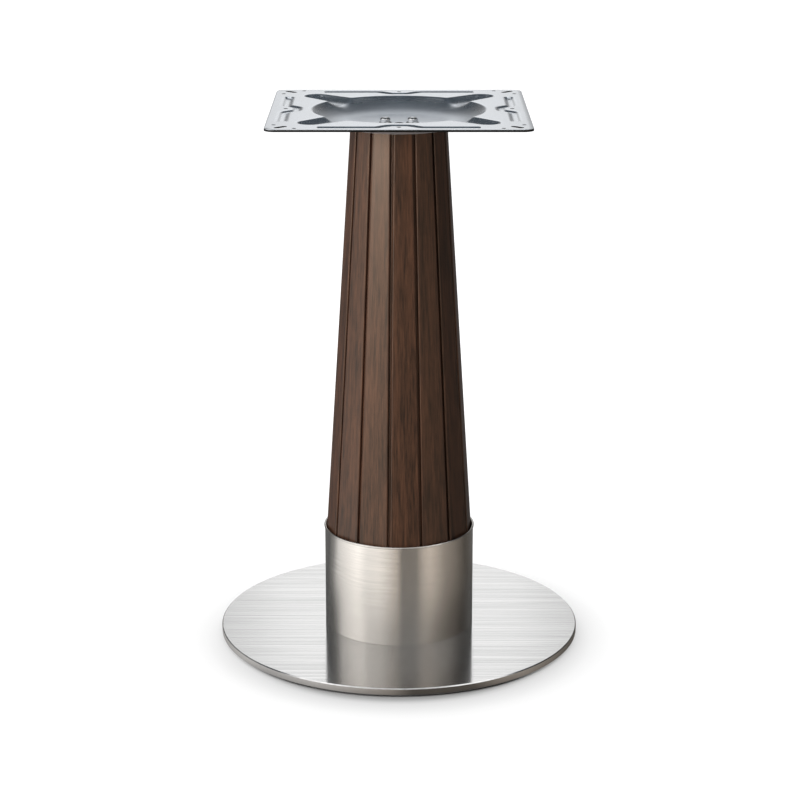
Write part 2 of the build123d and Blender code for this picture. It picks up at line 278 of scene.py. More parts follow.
# %% [markdown]
# ## Zinc-plated pressed steel
#
# The top plate is bright zinc with a faint blue. It could be one even gloss, but the dies draw the metal
# where they press it and leave it a little duller there, so the roughness grows with the depth.

# %% Zinc plate
DRAWN_FROM, DRAWN_TO = 0.003, 0.012  # depths below the flat face


def zinc_plate():
    zinc = Finish("zinc_plate")
    cloud = zinc.noise(zinc.place(), 18.0, 5.0, 0.6)
    grain = zinc.noise(zinc.place(), 900.0, 3.0, 0.5)
    tone = zinc.range(cloud, 0.3, 0.7, 0.94, 1.04)
    height = zinc.add("ShaderNodeSeparateXYZ", {}, {0: zinc.place()}, output="Z")
    drawn = zinc.range(height, TOTAL_HEIGHT - DRAWN_FROM, TOTAL_HEIGHT - DRAWN_TO)
    colour = zinc.add("ShaderNodeVectorMath", {"operation": "SCALE"}, {0: (0.70, 0.735, 0.78), "Scale": tone})
    return zinc.surface(
        Base_Color=colour,
        Metallic=1.0,
        Roughness=zinc.range(cloud * 0.6 + grain * 0.4, 0.3, 0.7, 0.19, 0.27) + drawn * 0.13,
        Normal=zinc.bump(grain, 0.15, 0.00005),
    )


zinc = zinc_plate()
print("Finish:", zinc.name)


# %% Cut edges of the sheet, near black as painted shade
def cut_edge():
    """Sheared and punched edges: dull and dark as sheared steel is, with the tool's upright marks; their
    near-black colour is painted shade on the rim and in the holes.
    """
    edge = Finish("plate_cut_edge_painted_shade")
    marks = edge.noise(edge.place((1.0, 1.0, 0.1)), 900.0, 3.0, 0.6)
    return edge.surface(
        Base_Color=edge.mix(marks, grey(0.003), grey(0.008)),
        Roughness=edge.range(marks, 0.3, 0.7, 0.55, 0.7),
        Specular_IOR_Level=0.08,
    )


cut_edge_and_painted_shade = cut_edge()
print("Finish:", cut_edge_and_painted_shade.name)

# %% [markdown]
# ## The small and hidden parts
#
# Bolts, screws, the welded core, the plywood formers and the nylon glides show from below or hardly at
# all, and still get what they are made of.

# %% Plain metals, nylon and plywood
def plain_metal(name, colour, roughness, scale):
    metal = Finish(name)
    speckle = metal.noise(metal.place(), scale, 4.0, 0.6)
    return metal.surface(
        Base_Color=metal.mix(speckle, (*[c * 0.9 for c in colour], 1.0), (*colour, 1.0)),
        Metallic=1.0,
        Roughness=metal.range(speckle, 0.3, 0.7, roughness * 0.8, roughness * 1.2),
        Normal=metal.bump(speckle, 0.2, 0.00003),
    )


bolt_chrome = plain_metal("bright_bolt", (0.56, 0.565, 0.57), 0.08, 500.0)
screw_steel_and_painted_shade = plain_metal("black_screw_and_painted_shade", (0.05, 0.05, 0.055), 0.4, 600.0)
core_steel = plain_metal("welded_core", (0.30, 0.31, 0.33), 0.45, 300.0)


def moulded_nylon():
    nylon = Finish("moulded_nylon")
    speckle = nylon.noise(nylon.place(), 1500.0, 3.0, 0.6)
    return nylon.surface(
        Base_Color=nylon.mix(speckle, linear(34, 34, 35), linear(46, 46, 47)),
        Roughness=nylon.range(speckle, 0.3, 0.7, 0.5, 0.62),
        Normal=nylon.bump(speckle, 0.3, 0.00005),
    )


def layered_plywood():
    ply = Finish("layered_plywood")
    layers = ply.add("ShaderNodeTexWave", {"bands_direction": "Z"}, {"Vector": ply.place(), "Scale": 110.0})
    fibre = ply.noise(ply.place((1.0, 0.06, 1.0)), 300.0, 5.0, 0.6)
    colour = ply.mix(layers * 0.6 + fibre * 0.4, linear(150, 112, 74), linear(206, 172, 128))
    return ply.surface(Base_Color=colour, Roughness=0.7, Normal=ply.bump(fibre, 0.3, 0.0002))


nylon = moulded_nylon()
plywood = layered_plywood()
print("Finishes:", bolt_chrome.name, screw_steel_and_painted_shade.name, core_steel.name, nylon.name, plywood.name)

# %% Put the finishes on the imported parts
finish_of = {
    "base_disc": disc_steel,
    "base_glide": nylon,
    "base_screw": screw_steel_and_painted_shade,
    "core": core_steel,
    "former": plywood,
    "stave": walnut,
    "collar": collar_steel,
    "top_plate": zinc,
    "top_bolt": bolt_chrome,
}
for name, part in nodes.items():
    start = next(start for start in finish_of if name.startswith(start))
    for slot in range(len(part.data.materials)):
        part.data.materials[slot] = finish_of[start]
print("Finished parts:", len(nodes))

# %% [markdown]
# ## The pressed top plate
#
# On the real base this is one sheet of steel, pressed between two dies: a round dish, four arms, four edge
# beads, then punched holes. It could be a CAD solid, a sculpt, or a sheet whose height is a formula. A
# formula is the closest to the press: each form is a depth, the deepest one wins, and where two meet, the
# metal rounds off the crease. The sheet keeps its gauge because its lower side is the upper side moved
# along the surface's own direction.

# %% Sizes of the pressing, in millimetres from the drawing
MM = 0.001
PLATE_HALF, PLATE_CORNER, GAUGE, EDGE_ROUND = 169.0, 14.0, 3.0, 0.5
DISH_FLOOR, DISH_RIM, DISH_DEPTH = 66.0, 115.0, 19.0
ARM_DEPTH, ARM_TIP, ARM_TIP_HALF, ARM_ROOT, ARM_ROOT_HALF, ARM_DRAFT = 8.0, 159.0, 17.0, 92.0, 23.0, 35.0
BEAD_HALF, BEAD_DEPTH, BEAD_DRAFT, BEAD_LINE, BEAD_END = 6.0, 2.2, 50.0, 149.0, 102.0
BEAD_END_SLOPE, BEAD_END_CREASE, BEAD_CREASE = 2.5, 0.6, 1.0
BUMP_FOOT, BUMP_TOP, BUMP_HEIGHT, BEND_RADIUS = 27.0, 12.0, 15.0, 12.0
TROUGH_CREASE, ARM_CREASE, BEAD_JOIN, FACE_CREASE = 2.0, 5.0, 0.1, 1.6
wall_width = DISH_RIM - DISH_FLOOR
WALL_ANGLE = 2 * atan(DISH_DEPTH / wall_width)
WALL_RADIUS = wall_width / sin(WALL_ANGLE)
print("Dish wall", round(degrees(WALL_ANGLE), 1), "degrees at the rim")


# %% Creases that round off
def deeper(first, second, crease):
    """The deeper of two forms, rounded where they meet."""
    share = np.clip(1 - np.abs(first - second) / crease, 0, 1)
    return np.maximum(first, second) + share**2 * crease / 4


def shallower(first, second, crease):
    return -deeper(-first, -second, crease)


# %% Each pressed form as a depth below the flat face
def dish_depth(x, y):
    """Flat floor, then a wall that steepens along one arc and goes on straight past the rim."""
    reach = np.hypot(x, y)
    along = np.clip(reach - DISH_FLOOR, 0, wall_width)
    risen = WALL_RADIUS - np.sqrt(WALL_RADIUS**2 - along**2)
    return DISH_DEPTH - risen - np.maximum(reach - DISH_RIM, 0) * tan(WALL_ANGLE)


def arm_depth(x, y):
    """The four arms at once, because they mirror each other: rounded troughs, steepest at their lips."""
    along = (np.abs(x) + np.abs(y)) / 2**0.5
    across = np.abs(np.abs(x) - np.abs(y)) / 2**0.5
    share = np.clip((along - ARM_ROOT) / (ARM_TIP - ARM_ROOT), -1, 1)
    half = ARM_ROOT_HALF + (ARM_TIP_HALF - ARM_ROOT_HALF) * share
    inside = half - np.hypot(np.maximum(along - ARM_TIP, 0), across)
    wall = inside / tan(radians(ARM_DRAFT))
    trough = ARM_DEPTH * (1 - np.clip(1 - inside / half, 0, 1) ** 2)
    return shallower(wall, trough, TROUGH_CREASE)


def bead_path():
    """Centre line of one bead on the +X side, with round bends, as dense points."""
    step = BEAD_LINE - BUMP_HEIGHT
    corners = [
        (BEAD_LINE, -BEAD_END), (BEAD_LINE, -BUMP_FOOT), (step, -BUMP_TOP),
        (step, BUMP_TOP), (BEAD_LINE, BUMP_FOOT), (BEAD_LINE, BEAD_END),
    ]
    path = [np.array(corners[0])]
    for before, corner, after in zip(corners, corners[1:], corners[2:]):
        corner = np.array(corner)
        back, on = np.array(before) - corner, np.array(after) - corner
        back, on = back / np.hypot(*back), on / np.hypot(*on)
        turn = pi - np.arccos(back @ on)
        cut = BEND_RADIUS * tan(turn / 2)
        for t in np.linspace(0, 1, 9):
            path.append(corner + back * cut * (1 - t) ** 2 + on * cut * t**2)
    path.append(np.array(corners[-1]))
    return np.array(path)


BEAD_PATH = bead_path()


def distance_to_path(x, y, path):
    best = np.full(x.shape, 1e9)
    for (ax, ay), (bx, by) in zip(path, path[1:]):
        dx, dy = bx - ax, by - ay
        t = np.clip(((x - ax) * dx + (y - ay) * dy) / (dx * dx + dy * dy), 0, 1)
        best = np.minimum(best, np.hypot(x - ax - t * dx, y - ay - t * dy))
    return best


def bead_depth(x, y):
    """The four beads at once: the side that a point is nearest to is turned to +X."""
    across, along = np.maximum(np.abs(x), np.abs(y)), np.minimum(np.abs(x), np.abs(y))
    inside = BEAD_HALF - distance_to_path(across, along, BEAD_PATH)
    wall = inside / tan(radians(BEAD_DRAFT))
    end = (BEAD_END - along) * BEAD_END_SLOPE
    return shallower(shallower(wall, end, BEAD_END_CREASE), np.full_like(x, BEAD_DEPTH), BEAD_CREASE)


def pressed_depth(x, y):
    hollow = deeper(dish_depth(x, y), arm_depth(x, y), ARM_CREASE)
    return deeper(deeper(hollow, bead_depth(x, y), BEAD_JOIN), np.zeros_like(x), FACE_CREASE)


print("Deepest point", round(float(pressed_depth(np.zeros(1), np.zeros(1))[0]), 2), "mm")

# %% [markdown]
# ### From formula to sheet
#
# The sheet's points lie close together where the metal bends and far apart where it is flat. Rings of
# points follow the outline and every punched hole, and a Delaunay triangulation joins them all.

# %% Outline and holes as closed loops of points
def arc(cx, cy, radius, start, end, count):
    turns = np.radians(np.linspace(start, end, count))
    return [(cx + radius * cos(t), cy + radius * sin(t)) for t in turns]


def outline(inset):
    """The plate's rounded square, moved inwards."""
    half, radius = PLATE_HALF - inset, PLATE_CORNER - inset
    centre = half - radius
    return [
        point
        for (sx, sy), start in zip(((1, 1), (-1, 1), (-1, -1), (1, -1)), (0, 90, 180, 270))
        for point in arc(sx * centre, sy * centre, radius, start, start + 90, 13)
    ]


def slot_loop(cx, cy, length, width, turn):
    """A slot with round ends, its long axis turned by so many degrees."""
    run = (length - width) / 2
    c, s = cos(radians(turn)), sin(radians(turn))
    loop = arc(run, 0, width / 2, -90, 90, 11) + arc(-run, 0, width / 2, 90, 270, 11)
    return [(cx + x * c - y * s, cy + x * s + y * c) for x, y in loop]


def round_loop(cx, cy, diameter):
    return arc(cx, cy, diameter / 2, 0, 360, 25)[:-1]


MID_HOLE, CORNER_NEAR, CORNER_FAR, SLOT_REACH, BOLT_REACH = 149.0, 131.0, 158.0, 210.0, 18.0
CENTRE_WIDE, BOLT_WIDE, MID_WIDE, CORNER_WIDE, SLOT_LONG, SLOT_WIDE = 12.0, 9.0, 6.0, 5.5, 20.0, 8.0
holes = [round_loop(0, 0, CENTRE_WIDE)] + [round_loop(x, 0, BOLT_WIDE) for x in (-BOLT_REACH, BOLT_REACH)]
holes += [round_loop(x * MID_HOLE, y * MID_HOLE, MID_WIDE) for x, y in ((1, 0), (0, 1), (-1, 0), (0, -1))]
for sx in (-1, 1):
    for sy in (-1, 1):
        slot_x, slot_y = sx * SLOT_REACH / 2**0.5, sy * SLOT_REACH / 2**0.5
        holes.append(round_loop(sx * CORNER_NEAR, sy * CORNER_FAR, CORNER_WIDE))
        holes.append(round_loop(sx * CORNER_FAR, sy * CORNER_NEAR, CORNER_WIDE))
        holes.append(slot_loop(slot_x, slot_y, SLOT_LONG, SLOT_WIDE, 45 * sx * sy))
print("Punched holes:", len(holes))


# %% Points of the sheet
def inside_loop(x, y, loop):
    """Even-odd test for many points against one closed loop."""
    found = np.zeros(x.shape, bool)
    for (ax, ay), (bx, by) in zip(loop, loop[1:] + loop[:1]):
        if ay != by:
            crosses = (ay > y) != (by > y)
            found ^= crosses & (x < (bx - ax) * (y - ay) / (by - ay) + ax)
    return found


FINE_STEP, COARSE_EVERY, BEND_LIMIT, LOOP_GAP = 1.5, 5, 0.012, 0.7
ticks = np.arange(-PLATE_HALF + FINE_STEP, PLATE_HALF, FINE_STEP)
grid_x, grid_y = np.meshgrid(ticks, ticks)
height = -pressed_depth(grid_x, grid_y)
bend = np.zeros_like(height)
bend[1:-1, :] += np.abs(height[2:, :] - 2 * height[1:-1, :] + height[:-2, :])
bend[:, 1:-1] += np.abs(height[:, 2:] - 2 * height[:, 1:-1] + height[:, :-2])
wanted = bend > BEND_LIMIT
wanted[::COARSE_EVERY, ::COARSE_EVERY] = True
wanted &= inside_loop(grid_x, grid_y, outline(2 * EDGE_ROUND))
for loop in holes:
    centre = np.mean(loop, axis=0)
    spokes = [np.array(p) - centre for p in loop]
    grown = [tuple(centre + spoke * (1 + LOOP_GAP / np.hypot(*spoke))) for spoke in spokes]
    wanted &= ~inside_loop(grid_x, grid_y, grown)
loops = [outline(0.0), outline(0.3 * EDGE_ROUND), outline(EDGE_ROUND)] + holes
points, edges = [], []
for loop in loops:
    first = len(points)
    points += loop
    edges += [(first + k, first + (k + 1) % len(loop)) for k in range(len(loop))]
points += list(zip(grid_x[wanted], grid_y[wanted]))
made = delaunay_2d_cdt([Vector(p) for p in points], edges, [], 0, 1e-5)
flat = np.array([tuple(p) for p in made[0]])
triangles = np.array(made[2])
middle = flat[triangles].mean(axis=1)
keep = inside_loop(middle[:, 0], middle[:, 1], outline(0.0))
for loop in holes:
    keep &= ~inside_loop(middle[:, 0], middle[:, 1], loop)
triangles = triangles[keep]
a, b, c = (flat[triangles[:, k]] for k in range(3))
area = (b[:, 0] - a[:, 0]) * (c[:, 1] - a[:, 1]) - (b[:, 1] - a[:, 1]) * (c[:, 0] - a[:, 0])
triangles[area < 0] = triangles[area < 0][:, ::-1]
print("Sheet points", len(flat), "triangles", len(triangles))


# %% Upper face, lower face and cut edges
def smooth_but_sharp(mesh, sharp):
    """Shade smooth, apart from edges sharper than so many degrees."""
    mesh.polygons.foreach_set("use_smooth", [True] * len(mesh.polygons))
    mesh.set_sharp_from_angle(angle=radians(sharp))


def mesh_object(name, points, faces, materials, face_materials=None, sharp=None):
    """A new object from points in metres, flat or, with an angle for its sharp edges, shaded smooth."""
    mesh = bpy.data.meshes.new(name)
    mesh.from_pydata(points, [], faces)
    for material in materials:
        mesh.materials.append(material)
    if face_materials is not None:
        mesh.polygons.foreach_set("material_index", face_materials)
    if sharp is not None:
        smooth_but_sharp(mesh, sharp)
    piece = bpy.data.objects.new(name, mesh)
    bpy.context.scene.collection.objects.link(piece)
    return piece


def plate_points():
    """Upper points, and lower points one gauge away along the surface's direction."""
    x, y = flat[:, 0], flat[:, 1]
    nudge = 0.05
    slope_x = (pressed_depth(x + nudge, y) - pressed_depth(x - nudge, y)) / (2 * nudge)
    slope_y = (pressed_depth(x, y + nudge) - pressed_depth(x, y - nudge)) / (2 * nudge)
    length = np.sqrt(1 + slope_x**2 + slope_y**2)
    level = TOTAL_HEIGHT / MM - pressed_depth(x, y)
    corner = PLATE_HALF - PLATE_CORNER
    past_x, past_y = np.maximum(np.abs(x) - corner, 0), np.maximum(np.abs(y) - corner, 0)
    from_edge = np.clip(PLATE_CORNER - np.hypot(past_x, past_y), 0, EDGE_ROUND)
    rounded = EDGE_ROUND - np.sqrt(EDGE_ROUND**2 - (EDGE_ROUND - from_edge) ** 2)
    upper = np.stack([x, y, level - rounded], axis=1)
    down = GAUGE / length
    lower = np.stack([x - slope_x * down, y - slope_y * down, level - down], axis=1)
    return upper * MM, lower * MM


upper, lower = plate_points()
count = len(upper)
sides = {}
for p, q, r in triangles.tolist():
    for edge in ((p, q), (q, r), (r, p)):
        if sides.pop(edge[::-1], None) is None:
            sides[edge] = True
# The cut faces round the outline and in every hole take the near-black edge finish, which paints their shade
cuts = [(q, p, p + count, q + count) for p, q in sides]
faces = triangles.tolist() + (triangles[:, ::-1] + count).tolist() + cuts
face_materials = [0] * (2 * len(triangles)) + [1] * len(cuts)
points = np.concatenate([upper, lower]).tolist()
plate = mesh_object("pressed_plate", points, faces, [zinc, cut_edge_and_painted_shade], face_materials, sharp=35)
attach(plate, "root")
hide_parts("top_plate")
print("Pressed plate:", len(plate.data.polygons), "faces")

# %% [markdown]
# ## Geometry Nodes in Python
#
# The staves and the two bolts repeat round the middle of the base. Each kind is built once and a Geometry
# Nodes tree sets the copies out, so that count and spacing are plain numbers. A loop of copied objects would
# do it too, but then each copy is a piece of its own. The class that writes shader trees writes these too.

# %% A geometry tree with named inputs
class Layout(Finish):
    """A Geometry Nodes tree. It starts with the geometry input and the inputs named here."""

    def __init__(self, name, **inputs):
        tree = bpy.data.node_groups.new(name, "GeometryNodeTree")
        tree.is_modifier = True
        super().__init__(name, tree)
        tree.interface.new_socket("Geometry", in_out="INPUT", socket_type="NodeSocketGeometry")
        tree.interface.new_socket("Geometry", in_out="OUTPUT", socket_type="NodeSocketGeometry")
        for label, kind in inputs.items():
            tree.interface.new_socket(label, in_out="INPUT", socket_type="NodeSocket" + kind)
        self.given = self.add("NodeGroupInput")

    def end(self, geometry):
        self.add("NodeGroupOutput", {}, {"Geometry": geometry})
        return self.tree


def plain_mesh(piece, layouts):
    """Run layouts on a piece one after the other, and keep what comes out as its plain mesh."""
    for tree, values in layouts:
        modifier = piece.modifiers.new(tree.name, "NODES")
        modifier.node_group = tree
        inputs = [item for item in tree.interface.items_tree if item.in_out == "INPUT"]
        named = {item.name: item.identifier for item in inputs}
        for label, value in values.items():
            modifier[named[label]] = value
    seen = piece.evaluated_get(bpy.context.evaluated_depsgraph_get())
    mesh = bpy.data.meshes.new_from_object(seen)
    piece.modifiers.clear()
    piece.data = mesh
    return piece


# %% Layout: copies round the axis
def copies_round():
    """Set copies round the axis. Each copy also carries a number of its own, for its shade."""
    plan = Layout("copies_round", Count="Int", Radius="Float", Start="Float", Seed="Int", Material="Material")
    given = plan.given
    turn = plan.add("GeometryNodeInputIndex") * (2 * pi) / given.other("Count") + given.other("Start")
    cosine = plan.add("ShaderNodeMath", {"operation": "COSINE"}, {0: turn})
    sine = plan.add("ShaderNodeMath", {"operation": "SINE"}, {0: turn})
    radius = given.other("Radius")
    place = plan.add("ShaderNodeCombineXYZ", {}, {"X": cosine * radius, "Y": sine * radius})
    spots = plan.add("GeometryNodePoints", {}, {"Count": given.other("Count"), "Position": place})
    facing = plan.add("ShaderNodeCombineXYZ", {}, {"Z": turn})
    copies = plan.add(
        "GeometryNodeInstanceOnPoints",
        {},
        {"Points": spots, "Instance": given.other("Geometry"), "Rotation": facing},
    )
    seed = given.other("Seed")
    own = plan.add("FunctionNodeRandomValue", {"data_type": "FLOAT"}, {"Seed": seed}, output=1)
    numbered = plan.add(
        "GeometryNodeStoreNamedAttribute",
        {"domain": "INSTANCE"},
        {"Geometry": copies, "Name": "own_shade", "Value": own},
    )
    solid = plan.add("GeometryNodeRealizeInstances", {}, {"Geometry": numbered})
    finish = given.other("Material")
    return plan.end(plan.add("GeometryNodeSetMaterial", {}, {"Geometry": solid, "Material": finish}))


copies_layout = copies_round()
print("Layout:", copies_layout.name)

# %% [markdown]
# ## The tapered staves
#
# The column is coopered: fourteen flat boards lie round it like a barrel's, each as wide as its share of
# the circle at every height. A rebate on both edges of each board makes the dark groove to the next one.
# The section is drawn once, raised by Geometry Nodes, narrowed above the collar, and set out fourteen times.

# %% Section of one stave at its foot, in millimetres: x out from the axis, y across
STAVE_COUNT, STAVE_THICKNESS, GROOVE_WIDTH, GROOVE_DEPTH = 14, 14.0, 4.5, 4.0
FOOT_RADIUS, TOP_RADIUS, SEAM_ANGLE, SHOULDER = 100.3, 65.0, -8.0, 1.9
half_pitch = pi / STAVE_COUNT
side_slope = tan(half_pitch)
face_out = FOOT_RADIUS * cos(half_pitch)
groove_side = GROOVE_WIDTH / 2 / cos(half_pitch)


def stave_section():
    """One half from the inner corner to the flat face, with a rounded shoulder, then its mirror image."""
    inner, floor_out = face_out - STAVE_THICKNESS, face_out - GROOVE_DEPTH
    shoulder_across = face_out * side_slope - groove_side
    half = [
        (inner, inner * side_slope),
        (floor_out, floor_out * side_slope),
        (floor_out, floor_out * side_slope - groove_side),
    ]
    for t in np.linspace(0, 1, 7):
        half.append((face_out - SHOULDER * (1 - t) ** 2, shoulder_across - SHOULDER * t**2))
    return half + [(x, -y) for x, y in reversed(half)]


section = stave_section()
flat_half = section[len(section) // 2 - 1][1]
print("Stave section:", len(section), "points, flat", round(2 * flat_half, 1), "mm wide")


# %% Layout: raise and narrow a section
def tapered_stave():
    """Raised straight, raised again, closed at the foot, and narrowed towards the top."""
    inputs = dict.fromkeys(("Straight", "Tapered", "Narrowing", "Side", "Flat"), "Float")
    plan = Layout("tapered_stave", **inputs)
    given = plan.given
    up = plan.add("ShaderNodeCombineXYZ", {}, {"Z": 1.0})

    def raised(mesh, label, more):
        sockets = {"Mesh": mesh, "Offset": up, "Offset Scale": given.other(label), "Individual": False}
        return plan.add("GeometryNodeExtrudeMesh", {}, {**sockets, **more})

    foot = raised(given, "Straight", {})
    body = raised(foot, "Tapered", {"Selection": foot.other("Top")})
    sole = plan.add("GeometryNodeFlipFaces", {}, {"Mesh": given})
    both = plan.add("GeometryNodeJoinGeometry", {}, {"Geometry": body})
    # The join takes any number of links in its one socket
    plan.tree.links.new(sole.socket, both.socket.node.inputs[0])
    closed = plan.add("GeometryNodeMergeByDistance", {}, {"Geometry": both, "Distance": 1e-6})
    where = plan.add("ShaderNodeSeparateXYZ", {}, {0: plan.add("GeometryNodeInputPosition")})
    height = where.other("Z")
    base = plan.add(
        "GeometryNodeAttributeStatistic",
        {"data_type": "FLOAT"},
        {"Geometry": closed, "Attribute": height},
        output="Min",
    )
    risen = (height - base - given.other("Straight")) / given.other("Tapered")
    share = plan.add("ShaderNodeClamp", {}, {"Value": risen, "Min": 0.0, "Max": 1.0})
    beside = where.other("Y") / given.other("Flat")
    lean = plan.add("ShaderNodeClamp", {}, {"Value": beside, "Min": -1.0, "Max": 1.0})
    less = share * given.other("Narrowing")
    aside = less * given.other("Side") * lean
    shift = plan.add("ShaderNodeCombineXYZ", {}, {"X": less * -1.0, "Y": aside * -1.0})
    narrowed = plan.add("GeometryNodeSetPosition", {}, {"Geometry": closed, "Offset": shift})
    marked = plan.add(
        "GeometryNodeStoreNamedAttribute",
        {"data_type": "FLOAT_VECTOR", "domain": "POINT"},
        {"Geometry": narrowed, "Name": "stave_place", "Value": plan.add("GeometryNodeInputPosition")},
    )
    return plan.end(marked)


stave_layout = tapered_stave()
print("Layout:", stave_layout.name)

# %% Raise the section and set it out round the column
column_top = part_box("stave_01")[1].z
section_points = [(x * MM, y * MM, DISC_TOP) for x, y in section]
staves = mesh_object("staves", section_points, [range(len(section))], [])
one_stave = {
    "Straight": COLLAR_TOP - DISC_TOP,
    "Tapered": column_top - COLLAR_TOP,
    "Narrowing": (FOOT_RADIUS - TOP_RADIUS) * cos(half_pitch) * MM,
    "Side": side_slope,
    "Flat": flat_half * MM,
}
all_round = {
    "Count": STAVE_COUNT,
    "Radius": 0.0,
    "Start": radians(SEAM_ANGLE - 90.0) + half_pitch,
    "Seed": 7,
    "Material": walnut,
}
plain_mesh(staves, [(stave_layout, one_stave), (copies_layout, all_round)])
smooth_but_sharp(staves.data, 30)
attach(staves, "root")
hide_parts(*[name for name in nodes if name.startswith("stave_")])
print("Staves:", len(staves.data.polygons), "faces, top at", round(column_top, 4))

# %% [markdown]
# ## The collar
#
# A band of stainless steel, rolled to a ring, welded and brushed. Its upper edge is rolled outwards a
# little, which closes the gap to the wood. It could be a bevelled tube; here its section is drawn as one
# closed line and turned round the axis, so that the rolled rim is truly round.

# %% Turn a closed section round the axis
def turned(name, section, materials, sharp, count=192):
    """Points of the section are (radius, height) in millimetres, counter-clockwise seen with z up."""
    rows = len(section)
    turns = [2 * pi * k / count for k in range(count)]
    points = [(r * cos(t) * MM, r * sin(t) * MM, z * MM) for t in turns for r, z in section]
    faces = []
    for k in range(count):
        here, there = k * rows, (k + 1) % count * rows
        for row in range(rows):
            up = (row + 1) % rows
            faces.append((here + row, there + row, there + up, here + up))
    return mesh_object(name, points, faces, materials, sharp=sharp)


COLLAR_INNER, COLLAR_WALL, FOOT_CHAMFER, RIM_CENTRE, RIM_RADIUS = 101.0, 1.5, 0.3, 102.1, 1.5
RIM_FROM, RIM_TO = -74.5, 222.8  # degrees, from the outer side of the wall over the top to the inner
foot_z, top_z = DISC_TOP / MM, COLLAR_TOP / MM
wall_out = COLLAR_INNER + COLLAR_WALL
rim = arc(RIM_CENTRE, top_z - RIM_RADIUS, RIM_RADIUS, RIM_FROM, RIM_TO, 22)
foot = [(COLLAR_INNER, foot_z), (wall_out - FOOT_CHAMFER, foot_z), (wall_out, foot_z + FOOT_CHAMFER)]
collar = turned("collar_band", foot + rim, [collar_steel], sharp=30)
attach(collar, "root")
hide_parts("collar")
print("Collar:", len(collar.data.polygons), "faces")

# %% [markdown]
# ## The two flange bolts
#
# They hold the plate down on the core. A flange bolt is forged: a washer in one piece with a hexagon whose
# top is turned round, which leaves the curved chamfer on each flat. Rings that are the smaller of the
# hexagon and a circle give that chamfer by themselves. The layout that set out the staves places both. The
# edge of the flange lies in shade against the sheet, and the black screw finish on it is painted shade.

# %% One bolt head from rings, set out twice
BOLT_SEAT, ACROSS_FLATS, RING_POINTS = TOTAL_HEIGHT / MM - DISH_DEPTH, 13.0, 72
# Rings as height above the seat and radius, in millimetres
FLANGE_RINGS = [(0.0, 8.5), (0.9, 8.5), (1.3, 8.3), (1.8, 7.5)]
HEXAGON_RINGS = [(2.0, 7.2), (4.6, 7.2), (5.6, 6.9), (6.5, 6.2), (7.3, 4.9), (7.8, 3.2), (8.0, 1.4)]
# Painted shade: the flange's edge below this height takes the black screw finish
PAINTED_SHADE_UP_TO = 1.7  # faces whose middle is below this height are dark


def head_ring(height, radius, hexagon):
    """One ring: a circle, cut back to the hexagon's flats where it has them."""
    ring = []
    for k in range(RING_POINTS):
        turn = 2 * pi * k / RING_POINTS
        to_flat = ACROSS_FLATS / 2 / cos((turn + pi / 6) % (pi / 3) - pi / 6)
        reach = min(radius, to_flat) if hexagon else radius
        ring.append((reach * cos(turn) * MM, reach * sin(turn) * MM, (BOLT_SEAT + height) * MM))
    return ring


points = [point for height, radius in FLANGE_RINGS for point in head_ring(height, radius, False)]
points += [point for height, radius in HEXAGON_RINGS for point in head_ring(height, radius, True)]
last = len(points) - RING_POINTS
faces = []
for first in range(0, last, RING_POINTS):
    for k in range(RING_POINTS):
        here, beside = first + k, first + (k + 1) % RING_POINTS
        faces.append((here, beside, beside + RING_POINTS, here + RING_POINTS))
faces += [tuple(reversed(range(RING_POINTS))), tuple(range(last, last + RING_POINTS))]
bolts = mesh_object("flange_bolts", points, faces, [])
twice = {"Count": 2, "Radius": BOLT_REACH * MM, "Start": 0.0, "Seed": 3, "Material": bolt_chrome}
plain_mesh(bolts, [(copies_layout, twice)])
smooth_but_sharp(bolts.data, 25)
# The flange's edge gets the black screw finish as painted shade
bolts.data.materials.append(screw_steel_and_painted_shade)
for face in bolts.data.polygons:
    if face.center.z < (BOLT_SEAT + PAINTED_SHADE_UP_TO) * MM:
        face.material_index = 1
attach(bolts, "root")
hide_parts("top_bolt_1", "top_bolt_2")
print("Bolts:", len(bolts.data.polygons), "faces")

# %% [markdown]
# ## The studio
#
# A pale floor, a white surround, soft lamps, and reflectors that the camera doesn't see. A brushed metal
# surface is a mirror of the room, so the reflectors' light and dark parts are what draw its bands. They
# could be many cards; one ring and one dome with a ramp by direction do the same and are easy to tune.
# Two of the lamps are kept to one piece each, because the wood and the disc need more light than the rest.

# %% Surround: white to the camera, to metal and to glass, softer as a light
def white_surround(light_strength):
    world = bpy.data.worlds.new("surround")
    world.use_nodes = True
    bpy.context.scene.world = world
    sky = Finish("surround", world.node_tree)
    path = sky.add("ShaderNodeLightPath")
    seen = path
    for name in ("Is Glossy Ray", "Is Transmission Ray"):
        seen = sky.add("ShaderNodeMath", {"operation": "MAXIMUM"}, {0: seen, 1: path.other(name)})
    strength = seen * (1.0 - light_strength) + light_strength
    light = sky.add("ShaderNodeBackground", {}, {"Color": grey(1.0), "Strength": strength})
    sky.add("ShaderNodeOutputWorld", {}, {"Surface": light})


white_surround(0.35)
bpy.context.scene.view_settings.view_transform = "Standard"
print("Surround ready")

# %% Floor: its own glow makes the open floor white and, held low round the disc, paints a soft shadow; its diffuse part keeps the cast shadow
# Painted shadow: the floor's glow is held low near the disc and rises along these stops, from a centre moved
# to the front
PAINTED_SHADOW_REACH, PAINTED_SHADOW_SHIFT = 0.145, 0.04  # how far past the disc, and how far to the front
PAINTED_SHADOW_STOPS = (
    (0.0, 0.0), (0.04, 0.0), (0.08, 0.17), (0.11, 0.33), (0.16, 0.48), (0.24, 0.57), (0.4, 0.73), (0.7, 0.89),
    (1.0, 1.0),
)
OPEN_FROM, OPEN_TO = 0.5, 1.6  # distances over which the glow goes from near to far


